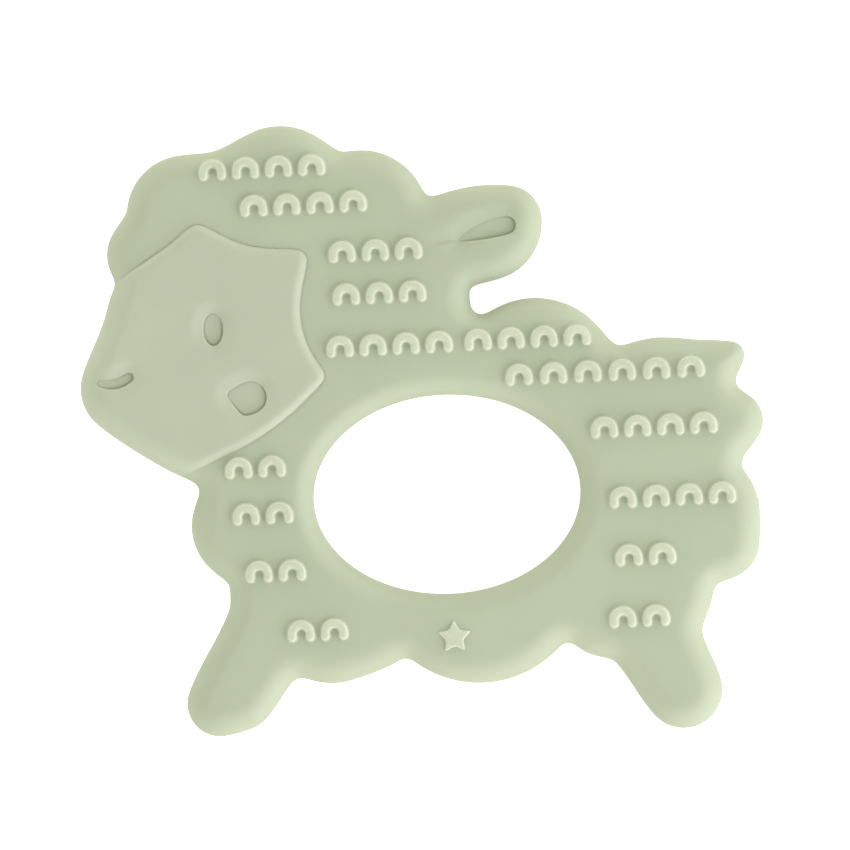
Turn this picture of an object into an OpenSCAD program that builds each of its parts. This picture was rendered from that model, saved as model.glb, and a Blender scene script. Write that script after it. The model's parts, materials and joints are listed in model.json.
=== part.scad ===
// Lamb-shaped silicone teething ring with an oval grip hole.
// It lies on its flat back. The origin is at the centre of the grip hole, on the back.
// +X runs along the rows of wool towards the tail, +Y towards the crown, +Z out of the front.

/* [Body] */
// Thickness of the body without its relief
body_t = 9; // [7:0.5:12]
// How far the rounded edge reaches in from the outline
edge_r = 2.5; // [1.5:0.1:2.5]
// Height of the upright band left at the middle of the edge
edge_land = 1; // [0.5:0.1:2]

/* [Grip hole] */
// Length of the oval grip hole
hole_w = 40.2; // [34:0.2:42]
// Height of the oval grip hole
hole_h = 30; // [26:0.2:31]

/* [Relief] */
// How far the face, the wool marks and the badge stand out from the front
relief_h = 0.8; // [0.4:0.1:1.2]
// Width of the bevel round the face
face_bevel = 1.2; // [0.6:0.1:1.25]
// Depth of the hollow in the ear
ear_hollow_d = 0.8; // [0.4:0.1:1.5]

/* [Wool marks] */
// Width of one arched wool mark
mark_w = 4; // [3.4:0.1:4.2]
// Width of the ridge that the mark is made of
mark_ridge = 1.3; // [0.9:0.1:1.5]
// Length of the straight legs under the arch
mark_leg = 0.45; // [0:0.05:0.8]
// Distance from one mark to the next along a row
mark_pitch = 4.95; // [4.6:0.05:5.2]

/* [Badge] */
// Width of the star badge over its points
badge_w = 5.2; // [4:0.1:6]
// Height of the badge
badge_h = 0.4; // [0.3:0.1:0.8]

/* [Smoothness] */
// Largest angle between neighbouring points of an arc
arc_step = 12; // [8:1:18]

/* [Hidden] */

edge_steps = 3;                   // rings from the upright band to the top of a rounded edge
jaw_share = 0.5;                  // the jaw's edge goes on turning over in the face mask
jaw_inset = edge_r * jaw_share;
front_z = body_t;
face_z = front_z + relief_h;
cut_over = 1;                     // how far a cut runs past the surface that it opens

silicone = [0.74, 0.80, 0.67];
silicone_face = [0.77, 0.81, 0.70];
silicone_mark = [0.82, 0.85, 0.75];

// An outline is a belt laid round a row of circles [x, y, radius], anticlockwise.
// A positive radius is a lobe that the belt wraps, a negative one a valley pressed into it.
forehead_notch = [-49.8, 34.0, -1.5];
jaw = [[-47.0, 30.9, 2.3], [-61.0, 32.4, -11.5], [-47.2, 18.1, 7.0], [-21.4, 42.4, 42]];
throat_notch = [-38.7, 2.2, -1.6];
front_leg = [
    [-29.9, -3.4, 8.6], [-34.6, -12.6, -1.4], [-37.6, -14.4, -4.4], [-35.5, -29.8, 4.9],
    [-33.0, -27.9, 6.2], [-23.2, -28.4, -1.9], [-18.1, -17.0, 10.5], [-12.4, -18.8, 7.0]
];
belly = [[-7.4, -26.0, -1.7], [4.2, -12.3, 16.2], [17.1, -24.8, -1.7], [23.1, -18.7, 6.8]];
hind_leg = [
    [22.6, -27.9, -2.2], [34.1, -30.9, 5.8], [40.0, -22.3, -2.7], [27.9, -14.8, 11.4],
    [41.0, -16.7, -1.7], [40.8, -9.0, 5.7], [36.5, -4.8, 10.3]
];
tail = [[46.3, 2.5, -1.9], [43.6, 9.1, 4.3], [45.9, 15.0, -1.8], [43.6, 18.9, 2.0]];
back = [[38.9, 27.6, -6.2], [33.0, 7.0, 15.0], [27.2, 23.1, -2.0], [14.1, 16.4, 12.4]];
ear = [
    [6.5, 28.4, -1.7], [5.9, 30.0, -1.2], [7.4, 40.5, 8.7], [10.95, 40.7, 5.2],
    [8.2, 22.5, 23.6], [-0.1, 46.3, -1.5]
];
crown = [
    [-10.9, 42.2, 10.0], [-13.0, 54.1, -2.0], [-22.9, 46.2, 10.2], [-34.0, 58.9, -6.0],
    [-37.2, 43.9, 8.8], [-48.5, 45.5, -2.6], [-43.0, 38.0, 6.3]
];
lamb_outline = concat(
    with_share(concat([forehead_notch], jaw, [throat_notch]), jaw_share),
    with_share(concat(front_leg, belly, hind_leg, tail, back, ear, crown), 1)
);

// The face shares the jaw with the body, and meets the wool along its other sides.
face_temple = [-45.4, 33.2, 1.3];
face_chin = [-38.5, 6.7, 1.3];
face_wool_side = [
    [-48.9, 46.2, 42], [-19.2, 18.7, 1.6], [-6.8, 28.3, -14], [-21.0, 36.0, 1.6],
    [-24.4, 51.0, -13], [-35.5, 40.0, 2.0], [-46.0, 47.0, -10]
];
face_outline = concat([face_temple], set_in(jaw, jaw_inset), [face_chin], face_wool_side);

// Hollows pressed into the face and the ear
eye_at = [-33.85, 26.35];
eye_size = [3.3, 5.3];
cheek_outline = [[-28.8, 15.9, 2.65], [-31.4, 16.4, 1.0], [-29.5, 14.3, 1.3]];
mouth_outline = [[-49.3, 22.4, 4.5], [-46.8, 19.75, 0.9], [-49.8, 23.6, -3.9], [-51.15, 19.05, 0.7]];
ear_hollow_outline = [[10.8, 39.9, 1.55], [11.3, 30.15, 11.3], [3.5, 37.9, 0.35]];

badge_at = [0.1, -21.4];
badge_points = 5;
badge_waist = 0.5;                // radius between two points, as a share of the radius at a point
rump_pitch = mark_pitch + 0.2;    // the long row over the rump is spaced a little wider

// Adds to each circle its share of the edge rounding
function with_share(circles, share) = [for (c = circles) [c[0], c[1], c[2], share]];

// The radius of a circle when its outline is drawn in by an inset
function inset_radius(c, inset) =
    let (own = inset * (len(c) > 3 ? c[3] : 1))
    c[2] < 0 ? c[2] - own : max(c[2] - own, 0);

// The same circles, with the outline drawn in by an inset
function set_in(circles, inset) = [for (c = circles) [c[0], c[1], inset_radius(c, inset)]];

// The direction in which the belt leaves circle a for circle b
function heading(a, b, inset) =
    let (reach = norm([b[0] - a[0], b[1] - a[1]]), drop = inset_radius(a, inset) - inset_radius(b, inset))
    atan2(b[1] - a[1], b[0] - a[0]) + asin(max(-1, min(1, drop / reach)));

// An angle brought into the range 0 to 360
function full_turn(angle) = angle - 360 * floor(angle / 360);

// How far the belt turns on a circle, negative in a valley
function turn(c, from, to) = c[2] < 0 ? -full_turn(from - to) : full_turn(to - from);

// The points of a belt drawn in by an inset, the same number of them for every inset
function belt(circles, inset = 0) =
    let (n = len(circles))
    [for (i = [0 : n - 1])
        let (
            c = circles[i],
            before = circles[(i + n - 1) % n],
            after = circles[(i + 1) % n],
            steps = max(1, ceil(abs(turn(c, heading(before, c, 0), heading(c, after, 0))) / arc_step)),
            from = heading(before, c, inset),
            swing = turn(c, from, heading(c, after, inset)),
            r = inset_radius(c, inset)
        )
        for (k = [0 : steps])
            let (angle = from + swing * k / steps)
            [c[0] + r * sin(angle), c[1] - r * cos(angle)]
    ];

// The points of an ellipse
function ellipse(size, grow = 0) =
    [for (angle = [0 : arc_step / 2 : 359]) [
        (size[0] / 2 + grow) * cos(angle),
        (size[1] / 2 + grow) * sin(angle)
    ]];

// Step k of a quarter round, as [inset, height]
function quarter_round(k, run, rise) =
    let (angle = 90 * k / edge_steps)
    [run * (1 - cos(angle)), rise * sin(angle)];

// One step of the body's edge, on the back's side or the front's, as [inset, height]
function edge_step(k, side) =
    let (q = quarter_round(k, edge_r, (body_t - edge_land) / 2))
    [q[0], body_t / 2 + side * (edge_land / 2 + q[1])];

// The body's edge from back to front, and the bevel round the face
edge_profile = [
    for (k = [edge_steps : -1 : 0]) edge_step(k, -1),
    for (k = [0 : edge_steps]) edge_step(k, 1)
];
bevel_profile = [for (k = [0 : edge_steps]) quarter_round(k, face_bevel, relief_h)];

// A closed band through rings of equal length, the last one joined back to the first
module band(rings) {
    n = len(rings[0]);
    m = len(rings);
    polyhedron(
        points = [for (ring = rings) for (p = ring) p],
        faces = [
            for (i = [0 : m - 1])
                for (k = [0 : n - 1])
                    let (next_ring = (i + 1) % m, next = (k + 1) % n)
                    [i * n + k, next_ring * n + k, next_ring * n + next, i * n + next]
        ]
    );
}

// A plate that fills an outline, its edge cut to a profile of [inset, height]
module edged_plate(outline, profile) {
    top = profile[len(profile) - 1];
    bottom = profile[0];
    band(concat(
        [for (step = profile) [for (p = belt(outline, step[0])) [p[0], p[1], step[1]]]],
        bottom[0] == top[0] ? [] : [[for (p = belt(outline, top[0])) [p[0], p[1], bottom[1]]]]
    ));
    translate([0, 0, bottom[1]])
        linear_extrude(top[1] - bottom[1])
            polygon(belt(outline, top[0]));
}

// The rounded rim of the grip hole
module hole_rim() {
    band([
        for (k = [len(edge_profile) - 1 : -1 : 0])
            let (step = edge_profile[k])
            [for (p = ellipse([hole_w, hole_h], step[0])) [p[0], p[1], step[1]]]
    ]);
}

// The space inside the hole's rim, out to where the front is flat
module hole_clearance() {
    translate([0, 0, -cut_over])
        linear_extrude(body_t + 2 * cut_over)
            polygon(ellipse([hole_w, hole_h], edge_r));
}

// A straight-sided hollow cut down from a face
module hollow(outline, from_z, depth) {
    translate([0, 0, from_z - depth])
        linear_extrude(depth + cut_over)
            polygon(outline);
}

// One arched wool mark, open towards -Y
module mark() {
    outer = mark_w / 2;
    inner = outer - mark_ridge;
    linear_extrude(relief_h) {
        difference() {
            circle(r = outer);
            circle(r = inner);
            translate([-outer, -2 * outer])
                square([2 * outer, 2 * outer]);
        }
        for (side = [-1, 1])
            translate([side * (outer - mark_ridge / 2), 0]) {
                translate([-mark_ridge / 2, -mark_leg])
                    square([mark_ridge, mark_leg]);
                translate([0, -mark_leg])
                    circle(d = mark_ridge);
            }
    }
}

// A row of wool marks, from the first one's place towards the tail
module mark_row(first, count, pitch = mark_pitch) {
    color(silicone_mark)
        for (k = [0 : count - 1])
            translate([first[0] + k * pitch, first[1], front_z])
                mark();
}

module lamb_body() {
    color(silicone) {
        difference() {
            edged_plate(lamb_outline, edge_profile);
            hole_clearance();
            hollow(belt(ear_hollow_outline), front_z, ear_hollow_d);
        }
        hole_rim();
    }
}

module face_mask() {
    color(silicone_face)
        difference() {
            translate([0, 0, front_z])
                edged_plate(face_outline, bevel_profile);
            translate(eye_at)
                hollow(ellipse(eye_size), face_z, relief_h + cut_over);
            hollow(belt(cheek_outline), face_z, relief_h + cut_over);
            hollow(belt(mouth_outline), face_z, relief_h + cut_over);
        }
}

module star_badge() {
    color(silicone_mark)
        translate([badge_at[0], badge_at[1], front_z])
            linear_extrude(badge_h)
                polygon([
                    for (k = [0 : 2 * badge_points - 1])
                        let (
                            r = badge_w / 2 * (k % 2 == 0 ? 1 : badge_waist),
                            angle = 90 + 180 * k / badge_points
                        )
                        [r * cos(angle), r * sin(angle)]
                ]);
}

module crown_marks_upper() { mark_row([-32.85, 49.8], 4); }
module crown_marks_lower() { mark_row([-26.9, 44.1], 4); }
module nape_marks_upper() { mark_row([-14.0, 36.6], 3); }
module nape_marks_lower() { mark_row([-13.7, 30.2], 3); }
module withers_marks() { mark_row([-15.0, 22.45], 4); }
module back_marks() { mark_row([5.7, 22.5], 4); }
module rump_marks() { mark_row([11.6, 17.0], 6, rump_pitch); }
module flank_marks() { mark_row([24.0, 8.5], 4); }
module thigh_marks_upper() { mark_row([26.3, -2.1], 4); }
module thigh_marks_lower() { mark_row([26.8, -10.8], 2); }
module hind_leg_marks() { mark_row([25.45, -20.0], 2); }
module throat_marks() { mark_row([-31.0, 5.0], 2); }
module chest_marks_upper() { mark_row([-30.2, -2.0], 2); }
module chest_marks_lower() { mark_row([-28.7, -10.7], 2); }
module front_leg_marks() { mark_row([-22.8, -19.85], 2); }

lamb_body();
face_mask();
star_badge();
crown_marks_upper();
crown_marks_lower();
nape_marks_upper();
nape_marks_lower();
withers_marks();
back_marks();
rump_marks();
flank_marks();
thigh_marks_upper();
thigh_marks_lower();
hind_leg_marks();
throat_marks();
chest_marks_upper();
chest_marks_lower();
front_leg_marks();
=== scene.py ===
"""Lamb-shaped silicone teething ring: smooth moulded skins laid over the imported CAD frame.

Shapes are worked out in millimetres in the frame's own axes and turned into metres when a mesh
is made. The silhouette, the grip hole, the face, the hollows, the wool marks and the badge are
read from the CAD nodes.
"""
import json
import math

import bpy
import numpy as np
from mathutils import Matrix, Vector
from mathutils.geometry import delaunay_2d_cdt
from mathutils.kdtree import KDTree

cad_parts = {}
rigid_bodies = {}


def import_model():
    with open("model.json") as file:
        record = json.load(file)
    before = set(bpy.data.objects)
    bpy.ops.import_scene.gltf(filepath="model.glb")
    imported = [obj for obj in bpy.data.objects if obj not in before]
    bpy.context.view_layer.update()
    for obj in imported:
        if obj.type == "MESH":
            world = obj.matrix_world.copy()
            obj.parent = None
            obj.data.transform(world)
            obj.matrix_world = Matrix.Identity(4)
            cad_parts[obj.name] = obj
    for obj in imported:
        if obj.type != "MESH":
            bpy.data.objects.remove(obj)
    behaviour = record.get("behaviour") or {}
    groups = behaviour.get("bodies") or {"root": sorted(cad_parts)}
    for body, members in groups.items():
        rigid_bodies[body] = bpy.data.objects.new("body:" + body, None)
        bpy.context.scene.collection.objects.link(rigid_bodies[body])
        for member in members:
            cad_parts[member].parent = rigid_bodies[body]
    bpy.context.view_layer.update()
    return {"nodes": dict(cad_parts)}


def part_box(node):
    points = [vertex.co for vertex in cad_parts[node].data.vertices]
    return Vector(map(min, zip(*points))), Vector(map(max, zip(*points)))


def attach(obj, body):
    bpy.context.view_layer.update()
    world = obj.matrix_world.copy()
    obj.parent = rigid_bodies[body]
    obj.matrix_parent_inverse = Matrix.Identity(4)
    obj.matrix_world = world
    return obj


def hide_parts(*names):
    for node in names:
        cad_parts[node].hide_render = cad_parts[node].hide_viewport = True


for leftover in list(bpy.data.objects):
    bpy.data.objects.remove(leftover)
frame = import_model()

MM = 0.001

# ---------------------------------------------------------------- sizes, in millimetres
BACK_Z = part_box("lamb_body")[0].z / MM
FRONT_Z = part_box("lamb_body")[1].z / MM
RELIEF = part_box("face_mask")[1].z / MM - FRONT_Z
MIDDLE_Z = (BACK_Z + FRONT_Z) / 2
SIDE_BAND = 0.7           # upright band left at the middle of the rounded edge
EDGE_TOP = MIDDLE_Z + SIDE_BAND / 2
EDGE_BASE = MIDDLE_Z - SIDE_BAND / 2
EDGE_RISE = FRONT_Z - EDGE_TOP
SIDE_RING = MIDDLE_Z + 0.5  # height of the CAD body's widest ring

EDGE_RUN = 3.9            # how far the rounded edge reaches in from the silhouette
HOLE_RUN = 3.2            # and in from the grip hole
PARTING_RIDGE = 0.07      # how far the mould's parting line stands out
RIDGE_HALF = 0.12         # half the height of that line
EDGE_RINGS = 14           # rings over one rounded edge
BAND_RINGS = 7            # the rings that are meshed as a regular band
SPACING = 0.45            # distance between points along the silhouette
SMALL_SPACING = 0.2       # and along the hollows
GRID = 1.1                # distance between points on the flats
FINE = 0.08               # distance between the points that distances are measured to
BORDER_GAP = 0.01         # least distances between gathered points: on borders,
FEATURE_GAP = 0.05        # along hollows and slopes,
RING_GAP = 0.24           # on the deeper rings of a rounded edge,
GRID_GAP = 0.6            # on the flats,
BAND_GAP = 0.15           # and from the regular bands

FACE_SLOPE = 1.6          # width of the slope at the face's wool side
FACE_CURVE = 2.7          # how much steeper the slope is at its foot than on average
FACE_FILLET = 0.15        # softening of that foot
TEMPLE_REACH = 6.5        # the face's line runs straight from this far in to the silhouette
LINE_OVERRUN = 13         # and on past it
FACE_TUCK = 0.8           # how far the face's skirt runs on under the wool
TUCK_DROP = 0.15          # how deep that skirt lies
UNDER_FACE = 0.6          # how much lower the body lies under the face
FACE_FLOOR = EDGE_TOP - 0.1  # height of the face's hidden underside
FACE_LIP = 0.005          # the face laps over the body's side by this much

HOLLOW_WALL = 0.2         # width of a hollow's wall
HOLLOW_GROOVE = 0.14      # depth of the fine groove round its floor
LEAN_FROM = np.array([-0.5, 0.866])  # the dip round a hollow is deepest towards this side
SHOULDER_RUN = 2.1        # reach and depth of the soft dip round each hollow in the face
SHOULDER_DROP = 0.6
SHOULDER_LEAN = 0.6       # share of the dip that is missing on the far side
EAR_DEPTH = 0.8           # the hollow in the ear, and the soft dip round it
EAR_DIP = 0.74
EAR_DIP_RUN = 2.9
EAR_LEAN = 0.8
CREASE_SHARE = 0.9        # depth of the ear's crease, as a share of the dip round its hollow
CREASE_REACH = 6.0        # the ear's crease fades out this far from the tip of its hollow
CREASE_FALL = 0.14        # how much it runs down on the way
CREASE_WIDTHS = 0.6, 2.8  # its steep side below, and its soft side towards the crown

MARK_RIDGE = 1.3          # width of the ridge that a wool mark is made of
MARK_ROOT = 0.5           # how deep its underside lies in the body
MARK_FOOT = 0.28          # height at which its round top starts


# ---------------------------------------------------------------- reading the frame
def merged(node):
    """A CAD node's corner points with doubles merged, and its faces as rows of indices into them."""
    mesh = frame["nodes"][node].data
    points = np.array([v.co for v in mesh.vertices]) / MM
    _, first, index = np.unique(np.round(points, 3), axis=0, return_index=True, return_inverse=True)
    index = index.reshape(-1)
    faces = [[int(index[v]) for v in face.vertices] for face in mesh.polygons]
    return points[first], faces


def level_loops(node, z, tolerance=0.004):
    """The closed loops of a CAD node at height z, the one with the largest area first.

    They are the rings round its walls, or the borders of its flat faces, at that height.
    """
    points, faces = merged(node)
    at_level = np.abs(points[:, 2] - z) < tolerance
    flats = {}
    for face in faces:
        flat = all(at_level[corner] for corner in face)
        for a, b in zip(face, face[1:] + face[:1]):
            if a != b and at_level[a] and at_level[b]:
                flats.setdefault((min(a, b), max(a, b)), []).append(flat)
    joined = {}
    for (a, b), sides in flats.items():
        if not all(sides):
            joined.setdefault(a, []).append(b)
            joined.setdefault(b, []).append(a)
    loops = []
    left = set(joined)
    while left:
        loop = [min(left)]
        left.discard(loop[0])
        ahead = [p for p in joined[loop[0]] if p in left]
        while ahead:
            loop.append(ahead[0])
            left.discard(ahead[0])
            ahead = [p for p in joined[loop[-1]] if p in left]
        if len(loop) > 2:
            loops.append(anticlockwise(points[loop, :2]))
    return sorted(loops, key=lambda loop: -area(loop))


def area(loop):
    """Signed area of a closed loop, positive when it runs anticlockwise."""
    ahead = np.roll(loop, -1, axis=0)
    return 0.5 * float(np.sum(loop[:, 0] * ahead[:, 1] - ahead[:, 0] * loop[:, 1]))


def anticlockwise(loop):
    return loop if area(loop) > 0 else loop[::-1]


def row_boxes(node, gap=0.3):
    """Lowest and highest corners of each solid in a row that runs along X."""
    points, _ = merged(node)
    points = points[np.argsort(points[:, 0])]
    breaks = np.nonzero(np.diff(points[:, 0]) > gap)[0] + 1
    return [(group.min(axis=0), group.max(axis=0)) for group in np.split(points, breaks)]


# ---------------------------------------------------------------- curves in the plane
def smooth_curve(points, closed=True, steps=12):
    """A cubic curve through the points, closed or open."""
    points = np.asarray(points, float)
    if not closed:
        points = np.vstack([2 * points[0] - points[1], points, 2 * points[-1] - points[-2]])
    before = np.roll(points, 1, axis=0)
    after = np.roll(points, -1, axis=0)
    near = np.linalg.norm(points - before, axis=1)[:, None]
    far = np.linalg.norm(after - points, axis=1)[:, None]
    slope = ((points - before) / near * far + (after - points) / far * near) / (near + far)
    t = (np.arange(steps) / steps)[:, None]
    curve = []
    spans = range(len(points)) if closed else range(1, len(points) - 2)
    for a in spans:
        b = (a + 1) % len(points)
        curve.append(
            (2 * t**3 - 3 * t**2 + 1) * points[a]
            + (t**3 - 2 * t**2 + t) * far[a] * slope[a]
            + (3 * t**2 - 2 * t**3) * points[b]
            + (t**3 - t**2) * far[a] * slope[b]
        )
    if not closed:
        curve.append(points[-2:-1])
    return np.vstack(curve)


def resample(curve, spacing, closed=True):
    """The curve with its points at an even spacing."""
    path = np.vstack([curve, curve[:1]]) if closed else curve
    length = np.concatenate([[0], np.cumsum(np.linalg.norm(np.diff(path, axis=0), axis=1))])
    count = max(4, int(round(length[-1] / spacing)))
    at = np.linspace(0, length[-1], count + 1)
    even = np.column_stack([np.interp(at, length, path[:, k]) for k in (0, 1)])
    return even[:-1] if closed else even


def soften(curve, passes):
    """A closed curve with its small kinks ironed out."""
    for _ in range(passes):
        curve = (np.roll(curve, 1, axis=0) + 2 * curve + np.roll(curve, -1, axis=0)) / 4
    return curve


def normals(curve, closed=True):
    """Unit normals to the left of the curve, which is inwards on an anticlockwise loop."""
    if closed:
        run = np.roll(curve, -1, axis=0) - np.roll(curve, 1, axis=0)
    else:
        run = np.gradient(curve, axis=0)
    run = run / np.linalg.norm(run, axis=1)[:, None]
    return np.column_stack([-run[:, 1], run[:, 0]])


def inside(points, loop):
    """Which points lie inside a closed loop."""
    result = np.zeros(len(points), bool)
    x, y = points[:, 0], points[:, 1]
    for (x0, y0), (x1, y1) in zip(loop, np.roll(loop, -1, axis=0)):
        if y0 != y1:
            crosses = (y0 > y) != (y1 > y)
            result ^= crosses & (x < (x1 - x0) * (y - y0) / (y1 - y0) + x0)
    return result


class Distance:
    """Distance from points to a curve."""

    def __init__(self, curve, closed=True):
        samples = resample(curve, FINE, closed)
        self.tree = KDTree(len(samples))
        for i, (x, y) in enumerate(samples):
            self.tree.insert((x, y, 0), i)
        self.tree.balance()

    def __call__(self, points):
        return np.array([self.tree.find((x, y, 0))[2] for x, y in points])


def ease(t):
    """Smooth step from 0 to 1."""
    t = np.clip(t, 0, 1)
    return t * t * (3 - 2 * t)


def bullnose(depth, run):
    """Share of the edge's height that is reached at a depth in from its outline."""
    t = np.clip(depth / run, 0, 1)
    return np.sqrt(1 - (1 - t) ** 2)


# ---------------------------------------------------------------- outlines, from the frame
silhouette, hole = [
    soften(resample(smooth_curve(loop), SPACING), 1)
    for loop in level_loops("lamb_body", SIDE_RING)[:2]
]
LARGEST_HOLLOW = 200      # in square millimetres; the front's own outline and the hole are larger
ear_loops = [loop for loop in level_loops("lamb_body", FRONT_Z) if area(loop) < LARGEST_HOLLOW]
ear_hollow = soften(resample(smooth_curve(ear_loops[0]), SMALL_SPACING), 6)
mask_loops = level_loops("face_mask", FRONT_Z)
mask_outline = mask_loops[0]
cheek_hollow, eye_hollow, mouth_hollow = [
    soften(resample(smooth_curve(loop), SMALL_SPACING), 4) for loop in mask_loops[1:4]
]

to_silhouette = Distance(silhouette)
to_hole = Distance(hole)


def wool_side_of(outline):
    """The line where the face meets the wool, from chin to temple, run on past the silhouette.

    At the chin it goes straight on, and at the temple it ends in the notch over the forehead.
    """
    depth = to_silhouette(outline)
    n = len(outline)
    start = next(i for i in range(n) if depth[i] > EDGE_RUN > depth[i - 1])
    run = [outline[start]]
    while depth[(start + len(run)) % n] > EDGE_RUN:
        run.append(outline[(start + len(run)) % n])
    temple = outline[(start + len(run)) % n]
    notch = silhouette[np.argmin(np.linalg.norm(silhouette - temple, axis=1))]
    run = resample(smooth_curve(run, closed=False), SPACING, closed=False)
    run = run[to_silhouette(run) > TEMPLE_REACH]
    chin_way = (run[0] - run[4]) / np.linalg.norm(run[0] - run[4])
    temple_way = (notch - run[-1]) / np.linalg.norm(notch - run[-1])
    overrun = np.arange(SPACING, LINE_OVERRUN, SPACING)
    past_chin = [run[0] + chin_way * step for step in overrun]
    past_temple = [run[-1] + temple_way * step for step in overrun]
    return np.array(past_chin[::-1] + list(run) + past_temple)


face_line = wool_side_of(mask_outline)
CLEAR_OF_FACE = 20
west = silhouette[:, 0].min() - CLEAR_OF_FACE
face_side = np.vstack([face_line, [[west, face_line[-1, 1]], [west, face_line[0, 1]]]])
to_face_line = Distance(face_line, closed=False)


# ---------------------------------------------------------------- heights of the front
def into_face(points):
    """How far points lie inside the face's wool side, negative out in the wool."""
    return np.where(inside(points, face_side), 1, -1) * to_face_line(points)


def edge(points):
    """Share of the edge's height that is reached at each point of the front or the back."""
    return bullnose(to_silhouette(points), EDGE_RUN) * bullnose(to_hole(points), HOLE_RUN)


WALL_FOOT = 4


class Hollow:
    """A flat-floored hollow with a steep wall and a soft dip round it.

    lean makes the dip shallower, and so the wall higher, on the side away from LEAN_FROM.
    """

    def __init__(self, loop, depth, dip, dip_run, lean):
        self.loop = loop
        self.depth = depth
        self.dip = dip
        self.dip_run = dip_run
        self.lean = lean
        self.away = Distance(loop)

    def drop(self, points):
        """How far the surface lies below its surroundings."""
        away = self.away(points)
        deep_side = (points - self.loop.mean(axis=0)) @ LEAN_FROM
        steep = ease(0.5 - deep_side / self.dip_run)
        dip = self.dip * (1 - self.lean * steep)
        t = np.clip(away / self.dip_run, 0, 1)
        outer = dip * (1 - t) * (1 - t * t)
        groove = HOLLOW_GROOVE * (0.4 + 0.6 * steep)
        groove = groove * np.clip(1 - np.abs(away / HOLLOW_WALL - 1), 0, 1)
        inner = dip + (self.depth - dip) * ease(away / HOLLOW_WALL) + groove
        return np.where(inside(points, self.loop), inner, outer)

    def rings(self):
        """Rows of points over the wall, the groove and the dip, the foot of the wall at WALL_FOOT."""
        wall_steps = HOLLOW_WALL * np.array([0.2, 0.4, 0.6, 0.8, 1, 1.5, 2, 2.8])
        dip_steps = self.dip_run * np.array([0.06, 0.14, 0.25, 0.4, 0.6, 0.8, 1])
        inward = normals(self.loop)
        return [self.loop + inward * step for step in (*wall_steps, *-dip_steps)]


face_hollows = [
    Hollow(loop, RELIEF, SHOULDER_DROP, SHOULDER_RUN, SHOULDER_LEAN)
    for loop in (cheek_hollow, mouth_hollow, eye_hollow)
]
ear = Hollow(ear_hollow, EAR_DEPTH, EAR_DIP, EAR_DIP_RUN, EAR_LEAN)
crease_tip = ear_hollow[np.argmin(ear_hollow[:, 0])]
crease_way = np.array([-1, -CREASE_FALL])


def crease_drop(points):
    """The crease that runs on from the tip of the ear's hollow."""
    offset = points - crease_tip
    run = offset @ crease_way
    side = crease_way[0] * offset[:, 1] - crease_way[1] * offset[:, 0]
    width = np.where(side > 0, *CREASE_WIDTHS)
    fade = 1 - ease(run / CREASE_REACH)
    blunt = np.hypot(np.minimum(run, 0), side)
    t = np.clip(blunt / width, 0, 1)
    return EAR_DIP * CREASE_SHARE * fade * (1 - t) * (1 - t * t)


def wool_height(points):
    """The front of the body, a little lower where the face covers it."""
    hidden = UNDER_FACE * ease((into_face(points) - 0.5) / 1.5)
    dents = np.maximum(ear.drop(points), crease_drop(points))
    return EDGE_TOP + (EDGE_RISE - hidden - dents) * edge(points)


def face_height(points):
    """The front of the face, with a skirt that dips under the wool."""
    depth = into_face(points)
    slope = RELIEF * FACE_CURVE / FACE_SLOPE
    rounded = RELIEF * (1 - np.clip(1 - depth / FACE_SLOPE, 0, 1) ** FACE_CURVE)
    rise = np.where(depth > 0, rounded, slope * depth)
    fillet = np.clip(FACE_FILLET - np.abs(rise), 0, None) ** 2 / (4 * FACE_FILLET)
    tuck = TUCK_DROP * ease((-depth - FACE_TUCK / 4) / (FACE_TUCK * 3 / 4))
    relief = np.maximum(rise, 0) + fillet - tuck
    for hollow in face_hollows:
        relief = relief - hollow.drop(points)
    return EDGE_TOP + (EDGE_RISE + relief) * edge(points)


def back_height(points):
    """The back of the body."""
    return EDGE_BASE - (EDGE_BASE - BACK_Z) * edge(points)


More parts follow.
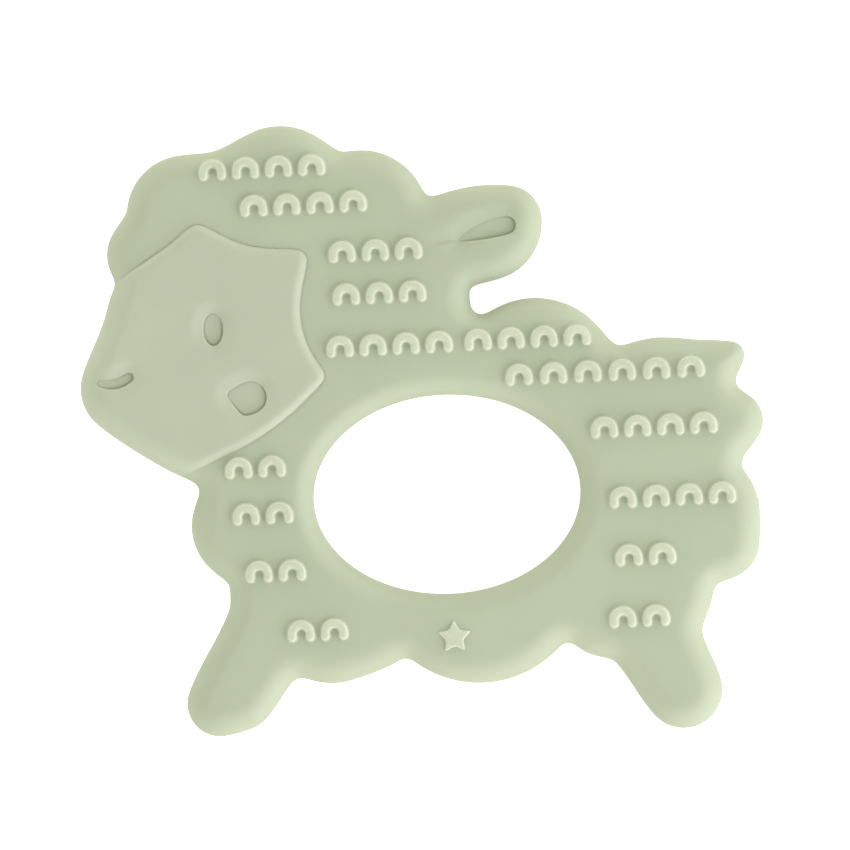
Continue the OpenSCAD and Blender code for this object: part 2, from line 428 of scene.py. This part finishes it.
# ---------------------------------------------------------------- building closed meshes
class Skin:
    """A mesh under construction, in millimetres."""

    def __init__(self):
        self.points = []
        self.faces = []
        self.parts = []

    def face(self, corners, part=0):
        """One face, in the piece's first material or, for part 1, its second."""
        self.faces.append(tuple(corners))
        self.parts.append(part)

    def row(self, plan, heights):
        """Adds a row of points and returns their numbers."""
        first = len(self.points)
        heights = np.broadcast_to(heights, len(plan))
        self.points.extend((float(x), float(y), float(z)) for (x, y), z in zip(plan, heights))
        return list(range(first, len(self.points)))

    def strip(self, lower, upper, closed=True, part=0):
        """Four-sided faces between two rows, seen from the right of their direction."""
        count = len(lower) if closed else len(lower) - 1
        for i in range(count):
            j = (i + 1) % len(lower)
            self.face((lower[i], lower[j], upper[j], upper[i]), part)

    def fill(self, borders, loose, height, fixed=(), up=True):
        """Fills a region with triangles. borders are rows that exist already, the outer one first.

        loose are points inside the region, and fixed are loops in it that edges have to follow.
        """
        plan = [Vector(self.points[i][:2]) for border in borders for i in border]
        owners = [i for border in borders for i in border]
        edges = []
        first = 0
        for loop in list(borders) + list(fixed):
            n = len(loop)
            edges += [(first + k, first + (k + 1) % n) for k in range(n)]
            first += n
        plan += [Vector(p) for loop in fixed for p in loop] + [Vector(p) for p in loose]
        corners, _, triangles, sources, _, _ = delaunay_2d_cdt(plan, edges, [], 0, 1e-5)
        where = np.array([tuple(c) for c in corners])
        outlines = [np.array([self.points[i][:2] for i in border]) for border in borders]
        triangles = np.array([list(t) for t in triangles])
        middles = where[triangles].mean(axis=1)
        kept = inside(middles, outlines[0])
        for outline in outlines[1:]:
            kept &= ~inside(middles, outline)
        triangles = triangles[kept]
        used = np.unique(triangles)
        number = {}
        fresh = []
        for corner in used:
            old = [owners[s] for s in sources[corner] if s < len(owners)]
            if old:
                number[corner] = old[0]
            else:
                fresh.append(corner)
        if fresh:
            number.update(zip(fresh, self.row(where[fresh], height(where[fresh]))))
        for a, b, c in triangles:
            turn = np.cross(where[b] - where[a], where[c] - where[a])
            face = (number[a], number[b], number[c])
            self.face(face if (turn > 0) == up else face[::-1])

    def build(self, name, materials, node):
        """Makes the object, and lets it ride in place of its CAD node."""
        mesh = bpy.data.meshes.new(name)
        mesh.from_pydata([(x * MM, y * MM, z * MM) for x, y, z in self.points], [], self.faces)
        mesh.update()
        mesh.shade_smooth()
        mesh.set_sharp_from_angle(angle=math.radians(70))
        piece = bpy.data.objects.new(name, mesh)
        bpy.context.scene.collection.objects.link(piece)
        for material in materials:
            mesh.materials.append(material)
        mesh.polygons.foreach_set("material_index", self.parts)
        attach(piece, "root")
        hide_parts(node)
        return piece


class Crowd:
    """Keeps points apart while they are gathered."""

    CELL = 1.2            # size of the cells that hold them, more than any gap asked for

    def __init__(self):
        self.cells = {}
        self.points = []

    def add(self, points, gap):
        """Adds the points that keep at least this gap from those already there."""
        around = [(i, j) for i in (-1, 0, 1) for j in (-1, 0, 1)]
        for x, y in points:
            cx, cy = int(x // self.CELL), int(y // self.CELL)
            near = (q for i, j in around for q in self.cells.get((cx + i, cy + j), ()))
            if all((x - qx) ** 2 + (y - qy) ** 2 >= gap * gap for qx, qy in near):
                self.cells.setdefault((cx, cy), []).append((x, y))
                self.points.append((x, y))


def ring_depth(k, run):
    """How far ring k of a rounded edge lies in from the outline."""
    return run * (1 - math.cos(math.pi / 2 * k / EDGE_RINGS))


def edge_band(loop, inward, run):
    """The rings of a rounded edge that are meshed as a regular band."""
    return [loop + inward * ring_depth(k, run) for k in range(BAND_RINGS + 1)]


silhouette_in = normals(silhouette)
hole_in = -normals(hole)
silhouette_band = edge_band(silhouette, silhouette_in, EDGE_RUN)
hole_band = edge_band(hole, hole_in, HOLE_RUN)


def gather(border_loops, features, keep):
    """Loose points for a region: its features', the deeper edge rings' and a grid over the flats."""
    crowd = Crowd()
    for loop in border_loops:
        crowd.add(loop, BORDER_GAP)
    taken = len(crowd.points)
    for feature in features:
        crowd.add(feature, FEATURE_GAP)
    for k in range(BAND_RINGS + 1, EDGE_RINGS + 1):
        for loop, inward, run, away in (
            (silhouette, silhouette_in, EDGE_RUN, to_silhouette),
            (hole, hole_in, HOLE_RUN, to_hole),
        ):
            ring = loop + inward * ring_depth(k, run)
            crowd.add(ring[away(ring) > ring_depth(k, run) - FEATURE_GAP], RING_GAP)
    low = silhouette.min(axis=0)
    high = silhouette.max(axis=0)
    rows = np.arange(low[1], high[1], GRID * math.sqrt(3) / 2)
    grid = np.array([
        (x + (GRID / 2 if k % 2 else 0), y)
        for k, y in enumerate(rows)
        for x in np.arange(low[0], high[0], GRID)
    ])
    crowd.add(grid, GRID_GAP)
    points = np.array(crowd.points[taken:])
    clear = inside(points, silhouette) & ~inside(points, hole)
    clear &= to_silhouette(points) > ring_depth(BAND_RINGS, EDGE_RUN) + BAND_GAP
    clear &= to_hole(points) > ring_depth(BAND_RINGS, HOLE_RUN) + BAND_GAP
    points = points[clear]
    return points[keep(points)]


def everywhere(points):
    return np.ones(len(points), bool)


# ---------------------------------------------------------------- materials
CLOUD_SCALE = 60          # per metre: soft clouds about a finger's width across
SPECKLE_SCALE = 2600
GRAIN_SCALE = 5200
WOOL_TINT = (185, 195, 167)
# The face's tint is the wool's own silicone painted a touch lighter: painted light for the raised
# face
FACE_TINT_PAINTED_LIGHTER = (188, 197, 171)
# The marks' tint is the same silicone painted much lighter: a painted highlight on the raised wool
# marks and the badge
MARK_TINT_PAINTED_HIGHLIGHT = (203, 210, 185)


def linear(red, green, blue):
    """A display colour, 0 to 255, as linear light."""
    channels = [c / 255 for c in (red, green, blue)]
    return [c / 12.92 if c <= 0.04045 else ((c + 0.055) / 1.055) ** 2.4 for c in channels]


def silicone(name, tint, roughness, grain, speckle):
    """Matt moulded silicone: a clouded body colour that light enters a little, and a fine bloom."""
    material = bpy.data.materials.new(name)
    material.use_nodes = True
    tree = material.node_tree
    shader = tree.nodes["Principled BSDF"]
    place = tree.nodes.new("ShaderNodeTexCoord")

    def noise(scale, detail, rough=0.5):
        node = tree.nodes.new("ShaderNodeTexNoise")
        node.inputs["Scale"].default_value = scale
        node.inputs["Detail"].default_value = detail
        node.inputs["Roughness"].default_value = rough
        tree.links.new(place.outputs["Object"], node.inputs["Vector"])
        return node.outputs["Fac"]

    def remap(value, *limits):
        node = tree.nodes.new("ShaderNodeMapRange")
        for socket, number in zip(("From Min", "From Max", "To Min", "To Max"), limits):
            node.inputs[socket].default_value = number
        tree.links.new(value, node.inputs["Value"])
        return node.outputs["Result"]

    def mixed(share, first, second):
        node = tree.nodes.new("ShaderNodeMix")
        node.data_type = "RGBA"
        tree.links.new(share, node.inputs["Factor"])
        for socket, colour in zip((6, 7), (first, second)):
            if isinstance(colour, bpy.types.NodeSocket):
                tree.links.new(colour, node.inputs[socket])
            else:
                node.inputs[socket].default_value = (*colour, 1)
        return node.outputs[2]

    base = linear(*tint)
    cloud = remap(noise(CLOUD_SCALE, 3), 0.35, 0.65, 0, 1)
    clouded = mixed(cloud, [c * 0.975 for c in base], [c * 1.02 for c in base])
    dust = remap(noise(SPECKLE_SCALE, 2, 0.7), 0.5 + 0.12 * (1 - speckle), 0.8, 0, speckle)
    speckled = mixed(dust, clouded, [min(1, c * 1.12 + 0.01) for c in base])
    tree.links.new(speckled, shader.inputs["Base Color"])
    rough = remap(noise(GRAIN_SCALE / 4, 3), 0.3, 0.7, roughness - 0.05, roughness + 0.05)
    tree.links.new(rough, shader.inputs["Roughness"])
    shader.inputs["IOR"].default_value = 1.41
    shader.inputs["Specular IOR Level"].default_value = 0.42
    shader.inputs["Subsurface Weight"].default_value = 0.25
    shader.inputs["Subsurface Radius"].default_value = (1.0, 1.1, 0.7)
    shader.inputs["Subsurface Scale"].default_value = 0.0007
    shader.inputs["Sheen Weight"].default_value = 0.25
    shader.inputs["Sheen Roughness"].default_value = 0.5
    bump = tree.nodes.new("ShaderNodeBump")
    bump.inputs["Strength"].default_value = grain
    bump.inputs["Distance"].default_value = 0.00003
    tree.links.new(noise(GRAIN_SCALE, 4, 0.6), bump.inputs["Height"])
    tree.links.new(bump.outputs["Normal"], shader.inputs["Normal"])
    return material


wool_silicone = silicone("wool_silicone", WOOL_TINT, 0.55, 0.35, 0.15)
# A lighter copy of the wool silicone for the face: painted light, not a different colour of silicone
face_silicone_painted_lighter = silicone("face_silicone_painted_lighter", FACE_TINT_PAINTED_LIGHTER, 0.52, 0.3, 0.12)
# A lighter copy of the wool silicone for the marks and the badge: a painted highlight where they
# stand proud
mark_silicone_painted_highlight = silicone("mark_silicone_painted_highlight", MARK_TINT_PAINTED_HIGHLIGHT, 0.62, 1.0, 1.0)


# ---------------------------------------------------------------- the body
def side_rows(skin, loop, outward):
    """The rows of an upright side from the back's edge to the front's, over the parting line."""
    rows = [skin.row(loop, EDGE_BASE)]
    for proud, z in ((0, -RIDGE_HALF), (PARTING_RIDGE, 0), (0, RIDGE_HALF)):
        rows.append(skin.row(loop + outward * proud, MIDDLE_Z + z))
    rows.append(skin.row(loop, EDGE_TOP))
    return rows


def make_body():
    body = Skin()
    inner_rows = {}
    for loop, band in ((silhouette, silhouette_band), (hole, hole_band)):
        solid_left = loop is silhouette
        outward = -silhouette_in if solid_left else -hole_in
        rows = [body.row(ring, back_height(ring)) for ring in reversed(band[1:])]
        rows += side_rows(body, loop, outward)
        rows += [body.row(ring, wool_height(ring)) for ring in band[1:]]
        for lower, upper in zip(rows, rows[1:]):
            body.strip(*((lower, upper) if solid_left else (lower[::-1], upper[::-1])))
        inner_rows[solid_left] = rows
    outlines = [silhouette_band[-1], hole_band[-1]]
    face_rows = [offset_line(face_line, step) for step in (-0.3, 0, 0.25, 0.5, 0.9, 1.3, 1.7, 2.1)]
    crease_line = crease_tip + np.outer(np.arange(-0.5, CREASE_REACH, 0.3), crease_way)
    crease_rows = [
        crease_line + np.array([0, step])
        for step in (-1.2, -0.9, -0.6, -0.3, 0, 0.3, 0.6, 0.9, 1.3, 1.8, 2.4)
    ]
    ear_rings = ear.rings()
    ear_edges = [ear.loop, ear_rings[WALL_FOOT]]
    front = gather(outlines + ear_edges, ear_rings + face_rows + crease_rows, everywhere)
    body.fill([inner_rows[True][-1], inner_rows[False][-1]], front, wool_height, fixed=ear_edges)
    back = gather(outlines, [], everywhere)
    body.fill([inner_rows[True][0], inner_rows[False][0]], back, back_height, up=False)
    return body.build("lamb_body_skin", [wool_silicone], "lamb_body")


def offset_line(line, step):
    """An open line moved to its left by a step."""
    return line + normals(line, closed=False) * step


# ---------------------------------------------------------------- the face
def make_face():
    """A block let into the body, its underside just below the upper edge of the side band."""
    skin = Skin()
    skirt = offset_line(face_line, -FACE_TUCK)
    covered = inside(silhouette, np.vstack([skirt, face_side[-2:]]))
    n = len(silhouette)
    start = next(i for i in range(n) if covered[i] and not covered[i - 1])
    jaw = [(start + k) % n for k in range(int(covered.sum()))]
    foot = (silhouette - normals(silhouette) * FACE_LIP)[jaw]
    rings = [skin.row(foot, FACE_FLOOR), skin.row(foot, EDGE_TOP)]
    rings += [skin.row(ring[jaw], face_height(ring[jaw])) for ring in silhouette_band[1:]]
    for lower, upper in zip(rings, rings[1:]):
        skin.strip(lower, upper, closed=False)
    within = inside(skirt, silhouette_band[-1])
    within &= to_silhouette(skirt) > ring_depth(BAND_RINGS, EDGE_RUN) + 2 * BAND_GAP
    wool_rim = skin.row(skirt[within], face_height(skirt[within]))
    rim = rings[-1] + wool_rim
    outline = np.array([skin.points[i][:2] for i in rim])
    hollow_loops = []
    features = []
    for hollow in face_hollows:
        rows = hollow.rings()
        hollow_loops += [hollow.loop, rows[WALL_FOOT]]
        features += rows
    steps = (-0.6, -0.45, -0.3, -0.2, -0.1, 0, 0.1, 0.2, 0.3)
    steps += (0.5, 0.7, 0.9, 1.1, 1.3, 1.5, 1.7, 1.9, 2.2)
    features += [offset_line(face_line, step) for step in steps]
    loose = gather([outline] + hollow_loops, features, lambda points: inside(points, outline))
    skin.fill([rim], loose[Distance(outline)(loose) > 0.1], face_height, fixed=hollow_loops)
    # The hidden walls along the wool and the hidden floor
    top = [ring[-1] for ring in rings[1:]] + wool_rim + [ring[0] for ring in reversed(rings[1:])]
    floor_plan = np.array([skin.points[i][:2] for i in top[1:-1]])
    floor = [rings[0][-1]] + skin.row(floor_plan, FACE_FLOOR) + [rings[0][0]]
    for k in range(len(top) - 1):
        skin.face((floor[k], floor[k + 1], top[k + 1], top[k]))
    skin.fill([rings[0] + floor[1:-1]], [], None, up=False)
    return skin.build("face_mask_skin", [face_silicone_painted_lighter], "face_mask")


# ---------------------------------------------------------------- wool marks and badge
# A ridge's fillet as (distance out from its side, height), from its root up
FILLET = [(0.45, -MARK_ROOT), (0.45, -0.01), (0.3, 0.015), (0.19, 0.05), (0.1, 0.11), (0.04, 0.19)]
CAP = 7                   # steps round each end of a ridge


def ridge_profile(half_width, height, rise=8):
    """(distance from the middle line, height) from the root's rim over the fillet to the top."""
    rows = [(half_width + out, z) for out, z in FILLET]
    rows.append((half_width, MARK_FOOT))
    shoulder = half_width * 0.72
    for k in range(1, rise + 1):
        turn = math.pi / 2 * k / rise
        rows.append((
            half_width - shoulder * (1 - math.cos(turn)),
            MARK_FOOT + (height - MARK_FOOT) * math.sin(turn) ** 0.8,
        ))
    return rows


def round_end(centre, start, distance):
    """Points on the half circle round a path's end, from the side that start points to."""
    first = math.atan2(start[1], start[0])
    turns = [first + math.pi * k / CAP for k in range(1, CAP)]
    return [centre + distance * np.array([math.cos(t), math.sin(t)]) for t in turns]


def around_path(path, distance):
    """The closed loop at a distance round an open path, anticlockwise."""
    left = normals(path, closed=False)
    far_end = round_end(path[-1], -left[-1], distance)
    near_end = round_end(path[0], left[0], distance)
    right_side = list(path - left * distance)
    left_side = list((path + left * distance)[::-1])
    return np.array(right_side + far_end + left_side + near_end)


def add_mark(skin, low, high):
    """One arched ridge in the plan box of its CAD solid."""
    width = high[0] - low[0]
    radius = (width - MARK_RIDGE) / 2
    centre = np.array([(low[0] + high[0]) / 2, high[1] - width / 2])
    leg = centre[1] - low[1] - MARK_RIDGE / 2
    legs = np.arange(0, leg, 0.15)
    turns = np.linspace(0, math.pi, 23)
    path = np.array(
        [(radius, -leg + step) for step in legs]
        + [(radius * math.cos(t), radius * math.sin(t)) for t in turns]
        + [(-radius, -leg + step) for step in legs[::-1]]
    ) + centre
    rings = []
    for distance, height in ridge_profile(MARK_RIDGE / 2, RELIEF):
        loop = around_path(path, distance)
        rings.append(skin.row(loop, wool_height(loop) + height))
    # The fillet at each ridge's foot keeps the wool's silicone; the ridge above gets the lighter
    # copy, a painted highlight
    for k, (lower, upper) in enumerate(zip(rings, rings[1:])):
        skin.strip(lower, upper, part=int(k < len(FILLET) - 1))
    skin.face(rings[0][::-1], part=1)
    top = rings[-1]
    n = len(path)
    left_start = n + CAP - 1
    right, left = top[:n], top[left_start:left_start + n][::-1]
    for k in range(n - 1):
        skin.face((right[k], right[k + 1], left[k + 1], left[k]))
    skin.face(top[n - 1:left_start + 1])
    skin.face(top[left_start + n - 1:] + top[:1])


def make_marks(node):
    skin = Skin()
    for low, high in row_boxes(node):
        add_mark(skin, low, high)
    return skin.build(f"{node}_skin", [mark_silicone_painted_highlight, wool_silicone], node)


STAR_SPACING = 0.12


def make_badge():
    """A five-pointed star with soft points, domed a little."""
    low, high = [np.array(corner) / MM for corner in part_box("star_badge")]
    outline = max(level_loops("star_badge", low[2]), key=area)
    star = resample(soften(resample(outline, STAR_SPACING), 12), STAR_SPACING)
    centre = star.mean(axis=0)
    height = high[2] - low[2]
    skin = Skin()
    rings = []
    profile = [(1.03, -MARK_ROOT), (1.03, 0), (1.0, 0.25), (0.975, 0.6), (0.94, 0.82), (0.88, 0.95)]
    profile += [(0.78, 1), (0.55, 1), (0.3, 1), (0.1, 1)]
    for share, rise in profile:
        loop = centre + (star - centre) * share
        lift = rise * height if rise >= 0 else rise
        rings.append(skin.row(loop, wool_height(loop) + lift))
    for lower, upper in zip(rings, rings[1:]):
        skin.strip(lower, upper)
    skin.face(rings[0][::-1])
    skin.face(rings[-1])
    # The badge takes the marks' lighter silicone, a painted highlight on the raised star
    return skin.build("star_badge_skin", [mark_silicone_painted_highlight], "star_badge")


make_body()
make_face()
make_badge()
for node in frame["nodes"]:
    if node.endswith(("_marks", "_marks_upper", "_marks_lower")):
        make_marks(node)


# ---------------------------------------------------------------- floor, light and camera
def make_floor():
    """A white sheet, 3 m square, that throws no light back on the object."""
    half = 1.5
    mesh = bpy.data.meshes.new("floor")
    corners = [(-half, -half, 0), (half, -half, 0), (half, half, 0), (-half, half, 0)]
    mesh.from_pydata(corners, [], [(0, 1, 2, 3)])
    floor = bpy.data.objects.new("floor", mesh)
    bpy.context.scene.collection.objects.link(floor)
    floor.visible_diffuse = False
    floor.visible_glossy = False
    material = bpy.data.materials.new("floor_paper")
    material.use_nodes = True
    shader = material.node_tree.nodes["Principled BSDF"]
    shader.inputs["Base Color"].default_value = (0.94, 0.94, 0.94, 1)
    shader.inputs["Roughness"].default_value = 0.9
    shader.inputs["Specular IOR Level"].default_value = 0.1
    shader.inputs["Emission Color"].default_value = (1, 1, 1, 1)
    shader.inputs["Emission Strength"].default_value = 0.8
    mesh.materials.append(material)


def make_light(name, place, size, power, colour):
    """A soft square lamp at a place in metres, aimed at the middle of the object."""
    lamp = bpy.data.lights.new(name, "AREA")
    lamp.size = size
    lamp.energy = power
    lamp.color = colour
    holder = bpy.data.objects.new(name, lamp)
    bpy.context.scene.collection.objects.link(holder)
    holder.location = place
    holder.rotation_euler = (-Vector(place)).to_track_quat("-Z", "Y").to_euler()


def make_world(below, horizon, zenith, bright_side, lean):
    """A light tent: colours by height, scaled up towards one side and down away from it by lean."""
    world = bpy.data.worlds.new("studio")
    world.use_nodes = True
    tree = world.node_tree
    place = tree.nodes.new("ShaderNodeTexCoord")
    split = tree.nodes.new("ShaderNodeSeparateXYZ")
    height = tree.nodes.new("ShaderNodeMapRange")
    height.inputs["From Min"].default_value = -1
    ramp = tree.nodes.new("ShaderNodeValToRGB")
    stops = ramp.color_ramp.elements
    stops[0].position = 0.44
    stops[1].position = 1
    stops.new(0.52)
    for stop, level in zip(stops, (below, horizon, zenith)):
        stop.color = (*level, 1)
    tree.links.new(place.outputs["Generated"], split.inputs["Vector"])
    tree.links.new(split.outputs["Z"], height.inputs["Value"])
    tree.links.new(height.outputs["Result"], ramp.inputs["Fac"])
    towards = tree.nodes.new("ShaderNodeVectorMath")
    towards.operation = "DOT_PRODUCT"
    towards.inputs[1].default_value = bright_side
    tree.links.new(place.outputs["Generated"], towards.inputs[0])
    share = tree.nodes.new("ShaderNodeMapRange")
    share.inputs["From Min"].default_value = -1
    share.inputs["To Min"].default_value = 1 - lean
    share.inputs["To Max"].default_value = 1 + lean
    tree.links.new(towards.outputs["Value"], share.inputs["Value"])
    leaning = tree.nodes.new("ShaderNodeVectorMath")
    leaning.operation = "SCALE"
    tree.links.new(ramp.outputs["Color"], leaning.inputs[0])
    tree.links.new(share.outputs["Result"], leaning.inputs["Scale"])
    tree.links.new(leaning.outputs["Vector"], tree.nodes["Background"].inputs["Color"])
    bpy.context.scene.world = world


def make_camera():
    """Looks straight down on the front, a touch turned, through a long lens."""
    target = Vector((-2.82, 10.55, MIDDLE_Z)) * MM
    roll = math.radians(2.7)
    height = 1.5
    span = 0.1277
    data = bpy.data.cameras.new("camera")
    data.sensor_width = 36
    data.lens = data.sensor_width * height / span
    data.clip_end = 10
    camera = bpy.data.objects.new("camera", data)
    bpy.context.scene.collection.objects.link(camera)
    right = Vector((math.cos(roll), -math.sin(roll), 0))
    up = Vector((math.sin(roll), math.cos(roll), 0))
    turned = Matrix((right, up, Vector((0, 0, 1)))).transposed().to_4x4()
    camera.matrix_world = Matrix.Translation(target + Vector((0, 0, height))) @ turned
    bpy.context.scene.camera = camera


make_floor()
make_light("key", place=(0.44, -0.33, 0.26), size=0.4, power=1.5, colour=(0.86, 0.83, 1.0))
make_world(
    below=(0.65, 0.63, 0.45),
    horizon=(2.4, 2.3, 2.36),
    zenith=(0.15, 0.2, 0.13),
    bright_side=(1, 0.1, 0),
    lean=0.12,
)
make_camera()
bpy.context.scene.view_settings.view_transform = "Standard"
